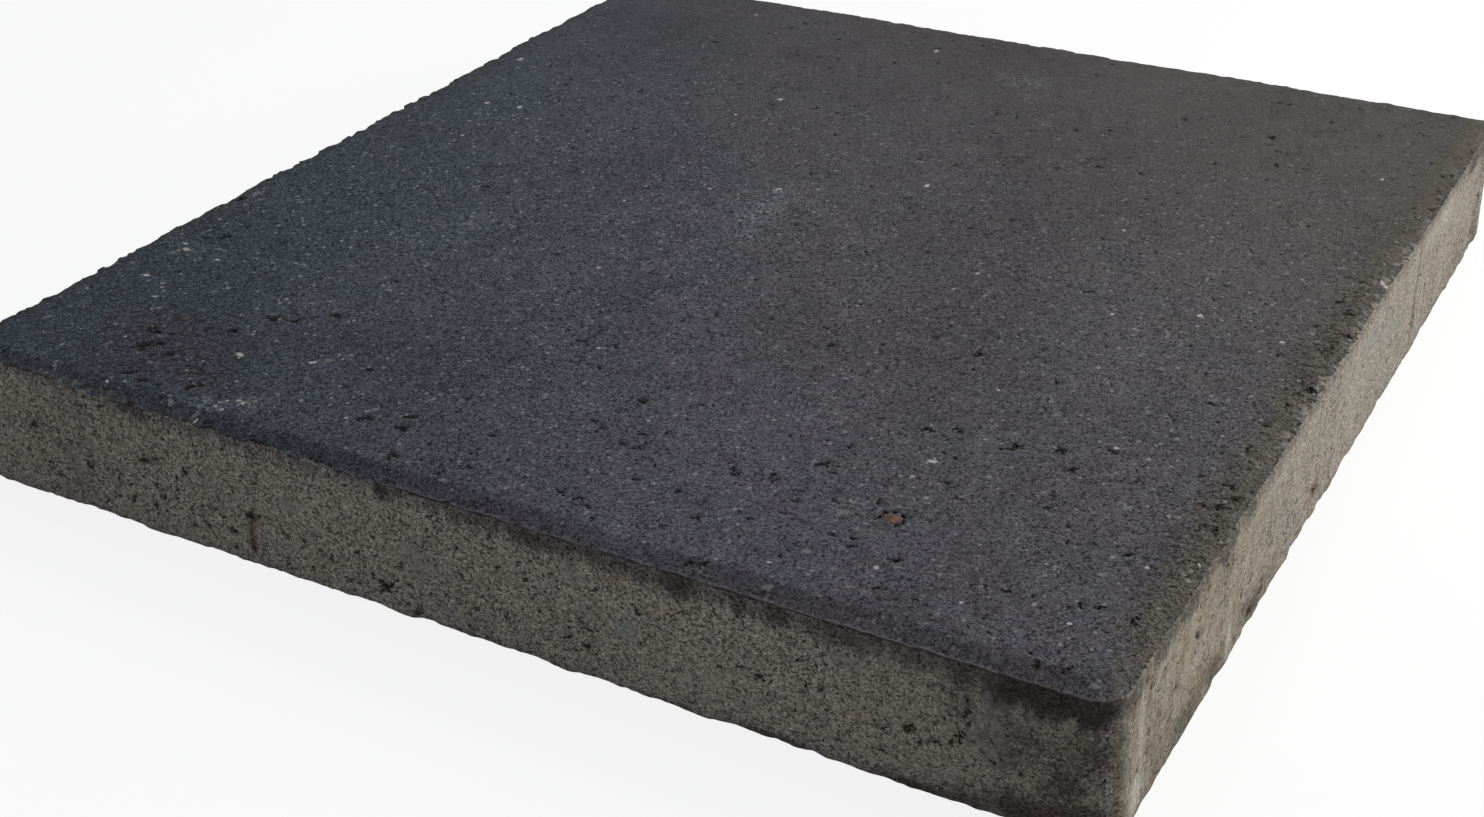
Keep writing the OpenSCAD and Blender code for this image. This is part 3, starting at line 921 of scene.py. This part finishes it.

    # Its specks and scuffs, and painted shade in its holes, pores and cracks
    back_calm = n.step(y, 0, HALF, 1, 0.35)
    scuff = n.step(n.total(small, middle, (sand, 0.25)), -0.05, 0.22)
    facing = n.paint(facing, (FLECK, speck, n.step(x, -150, 60, 0.85, 0.62), back_calm),
                     (FLECK, flake, back_calm, 0.75), (PORE_SHADE, hole, back_calm, 0.85),
                     (SCUFF, n.math("MULTIPLY", slurry, scuff, clamp=True), 0.55),
                     (PORE_SHADE, open_top, 0.9))
    along = n.stretched(place, (0.38, 1, 1), (0, 0, 1), -0.49)
    crack = n.step(n.total(n.noise(along, 1.4, 3, 0.6), (broad, 0.3)), -0.05, -0.085)
    dirty = n.step(n.total(grime, (middle, 0.5), (broad, 0.5)), 0.08, 0.35)
    plum = n.tinted(facing, MORE_PLUM)
    facing = n.paint(facing, (plum, dirty, face, n.step(x, -60, -130, 0, 0.5)),
                     (PORE_SHADE, crack, dirty, face, 0.92))

    # Its arris, which is dusty on the right, and worn at the front toward the left end
    dusty = n.step(n.total(n.noise(place, 2.6, 4), (broad, 0.5)), 0.01, 0.11)
    dusty = n.times(dusty, n.step(y, -130, -60), n.step(y, 130, 60, 0.12, 0.5))
    worn = n.times(n.step(n.total(x, (broad, 120)), -90, -190),
                   n.step(n.total(small, middle), -0.2, 0.2), n.step(z, TOP - 1.3, TOP - 2.5))
    facing = n.paint(facing, (ARRIS_SHADE, n.step(z, TOP - 0.12, TOP - 0.6), n.fade(right_rim), 0.33),
                     (FIN_GREY, lip, 0.8), (ARRIS_DUST, dusty, n.step(x, HALF - 6.5, HALF - 1)),
                     (WORN_GREY, worn, n.step(y, 8.0 - HALF, 4.0 - HALF), 0.5))

    # The grey backing: its hue
    brownish = n.step(n.total(tint, (broad, 0.8)), -0.2, 0.25)
    backing = n.mix(brownish, BACKING_GREY, BACKING_BROWN)
    film = n.total(slurry, (middle, 1.2), (broad, 1.2), (small, 0.5))
    film = n.step(film, 0.15, 0.6)
    mottle = n.times(n.noise(place, 7, 4, 0.6), near_right)
    umber = n.step(n.total((mottle, -1), (tint, 0.2)), -0.1, 0.25)
    backing = n.paint(backing, (SLURRY_GREY, film, 0.75), (BACKING_UMBER, near_right, umber))
    backing = n.paint(backing, (n.tinted(backing, MORE_YELLOW), near_right, 0.8))

    # Its shade
    fine = n.total((sand, 1.25), (dust, 1.8), (small, 0.5), (middle, 0.2))
    fine = n.times(fine, n.fade(near_right, 0.42), n.fade(far_right, 0.22))
    hairs = n.noise(streaks, 0.9)
    hairy = n.times(on_front, n.step(z, 30, 52, 0, 0.75))
    shade = n.total(fine, (broad, 0.32), (widest, 0.3), (n.noise(streaks, 3, 3), 0.45),
                    (hairs, 0.3), (hairs, hairy), (mottle, 1.1),
                    (n.noise(streaks, 1.5, 3), n.times(far_right, 0.8)))
    front_end = n.times(on_front, n.step(x, 140, 200, 0, 0.26))
    shade = n.times(shade, n.fade(on_right, 0.15), n.fade(front_end))
    calm = n.fade(film, 0.55)
    # Painted light: the front side, which lies in shade, is painted lighter by 0.2 here
    shade = n.math("MULTIPLY_ADD", n.total(shade, (on_front, 0.2)), calm, 1.06)
    backing = n.shaded(backing, shade)

    # Its specks and lime, painted shade in its holes, pores and crumbly places, and its darker foot
    limy = n.step(n.total(n.noise(streaks, 0.8), (small, 0.6)), -0.25, 0.15)
    pores = n.times(open_side, calm)
    crumbly = n.total(n.noise(place, 2.2, 4, 0.66), (broad, 0.35))
    crumbly = n.step(crumbly, -0.03, -0.085)
    in_darkened = n.step(n.total(grime, (middle, 0.4)), 0.12, 0.42)
    backing = n.paint(backing, (SAND, speck, n.math("MULTIPLY_ADD", near_right, 0.3, 0.3)),
                      (SAND, flake, 0.3), (CREVICE_SHADE, hole, n.fade(on_right, 0.5), 0.6),
                      (LIME_CREAM, n.math("MULTIPLY", lime, limy, clamp=True)),
                      (CREVICE_SHADE, pores, 0.88), (CREVICE_SHADE, crumbly, in_darkened, near_right, 0.75),
                      # Darker toward the foot of the sides
                      (FOOT_DARKER, n.step(n.total(z, (broad, 8)), 6, 0), 0.3))

    # Both, with what lies over them or shows in them; the dark in the pits is painted shade
    # Places that darken the sides, and the dirty patches of the top
    darkening = n.step(n.total(grime, (small, 0.6), (middle, 0.8), (broad, 0.5)), 0.05, 0.75)
    darkening = n.times(darkening, n.math("MULTIPLY_ADD", face, -0.5, 0.85))
    darker_tone = n.shaded(n.mix(face, SIDE_DARKER_TONE, TOP_SOIL), n.math("ADD", grit, 1))
    rusty = n.step(n.total(stain, (middle, 0.8), (small, 0.4), (broad, 0.4)), 0.15, 1.1)
    fullest = n.math("MULTIPLY_ADD", face, 0.11, 0.84)
    pit_shade = n.step(n.total(pit, (small, 1.2), (sand, 0.2)), 0.34, 0.52, 0, fullest)
    dull, pale = (n.total(grain, (small, 0.9), (sand, 0.3)) for grain in (dull, pale))
    brown = n.step(n.total(brown, (small, 0.6)), 0.3, 0.6)
    orange = n.step(n.total(x, (tint, 6)), PEBBLE[0] - 0.5, PEBBLE[0] + 1.5)
    colour = n.paint(n.mix(dark, backing, facing), (darker_tone, darkening), (RUST, rusty),
                     (n.mix(face, SIDE_PORE_SHADE, PORE_SHADE), pit_shade),
                     (DULL_GRAIN, n.step(dull, 0.3, 0.55), 0.75),
                     (GRAIN, n.step(pale, 0.4, 0.65), 0.8),
                     (n.mix(orange, PEBBLE_BROWN, PEBBLE_ORANGE), brown, 0.9))

    # Relief finer than the mesh, in millimetres
    height = n.total((sand, 0.2), (dust, 0.1), (small, 0.3), (middle, 0.16),
                     (open_top, -0.3), (pores, -0.5))
    bump = n.add("Bump", {"Strength": 1, "Distance": MM, "Height": height})[0]
    surface = n.add("BsdfPrincipled", {"Base Color": colour, "Normal": bump, "Roughness": 0.9,
                                       "Specular IOR Level": 0.12})[0]
    n.add("OutputMaterial", {"Surface": surface})
    return material


facing.data.materials.append(concrete("facing_concrete"))
backing.data.materials.append(concrete("backing_concrete"))


# ---------------------------------------------------------------- floor, light and camera

def seen_as_background(n):
    """1 for what the camera sees, directly or in a gloss, and 0 for light on the slab."""
    path = n.add("LightPath", {})
    share = n.math("MAXIMUM", path["Is Camera Ray"], path["Is Glossy Ray"])
    return n.math("MAXIMUM", share, path["Is Transmission Ray"])


def build_floor():
    reach = 8.0                      # metres
    corners = [(-reach, -reach, 0), (reach, -reach, 0), (reach, reach, 0), (-reach, reach, 0)]
    mesh = bpy.data.meshes.new("floor")
    mesh.from_pydata(corners, [], [(0, 1, 2, 3)])
    floor = add_object("floor", mesh)
    paper, n = new_material("floor_paper")
    seen = seen_as_background(n)
    grey = n.add("BsdfDiffuse", {"Color": n.mix(seen, (0.3, 0.3, 0.3), (0.95, 0.95, 0.95))})[0]
    white = n.add("Emission", {"Color": (1, 1, 1), "Strength": 1.0})[0]
    surface = n.add("MixShader", {0: n.times(seen, 0.85), 1: grey, 2: white})[0]
    n.add("OutputMaterial", {"Surface": surface})
    mesh.materials.append(paper)


def softbox(name, place, size, watts, colour):
    """A square lamp that faces the slab."""
    lamp = bpy.data.lights.new(name, "AREA")
    lamp.shape, lamp.size, lamp.energy, lamp.color = "SQUARE", size, watts, colour
    thing = add_object(name, lamp)
    thing.location = place
    thing.rotation_euler = (-Vector(place)).to_track_quat("-Z", "Y").to_euler()


def build_world():
    world = bpy.data.worlds.new("studio")
    bpy.context.scene.world = world
    world.use_nodes = True
    n = Nodes(world.node_tree)
    colour = n.mix(seen_as_background(n), (0.315, 0.33, 0.36), (1, 1, 1))
    n.tree.links.new(colour, n.tree.nodes["Background"].inputs["Color"])


def build_camera():
    lens = bpy.data.cameras.new("camera")
    lens.lens = 47.6567
    lens.shift_x = -0.0891
    camera = add_object("camera", lens)
    camera.location = (0.400126, -0.681771, 0.432593)
    camera.rotation_euler = [math.radians(a) for a in (59.1735, 0.852, 27.6219)]
    bpy.context.scene.camera = camera


build_floor()
build_world()
softbox("key", (1.11, 0.59, 0.73), 0.7, 16, (1, 0.97, 0.92))
softbox("top", (0.05, 0.45, 1.4), 1, 5.5, (1, 0.99, 0.97))
build_camera()
bpy.context.scene.view_settings.view_transform = "Standard"
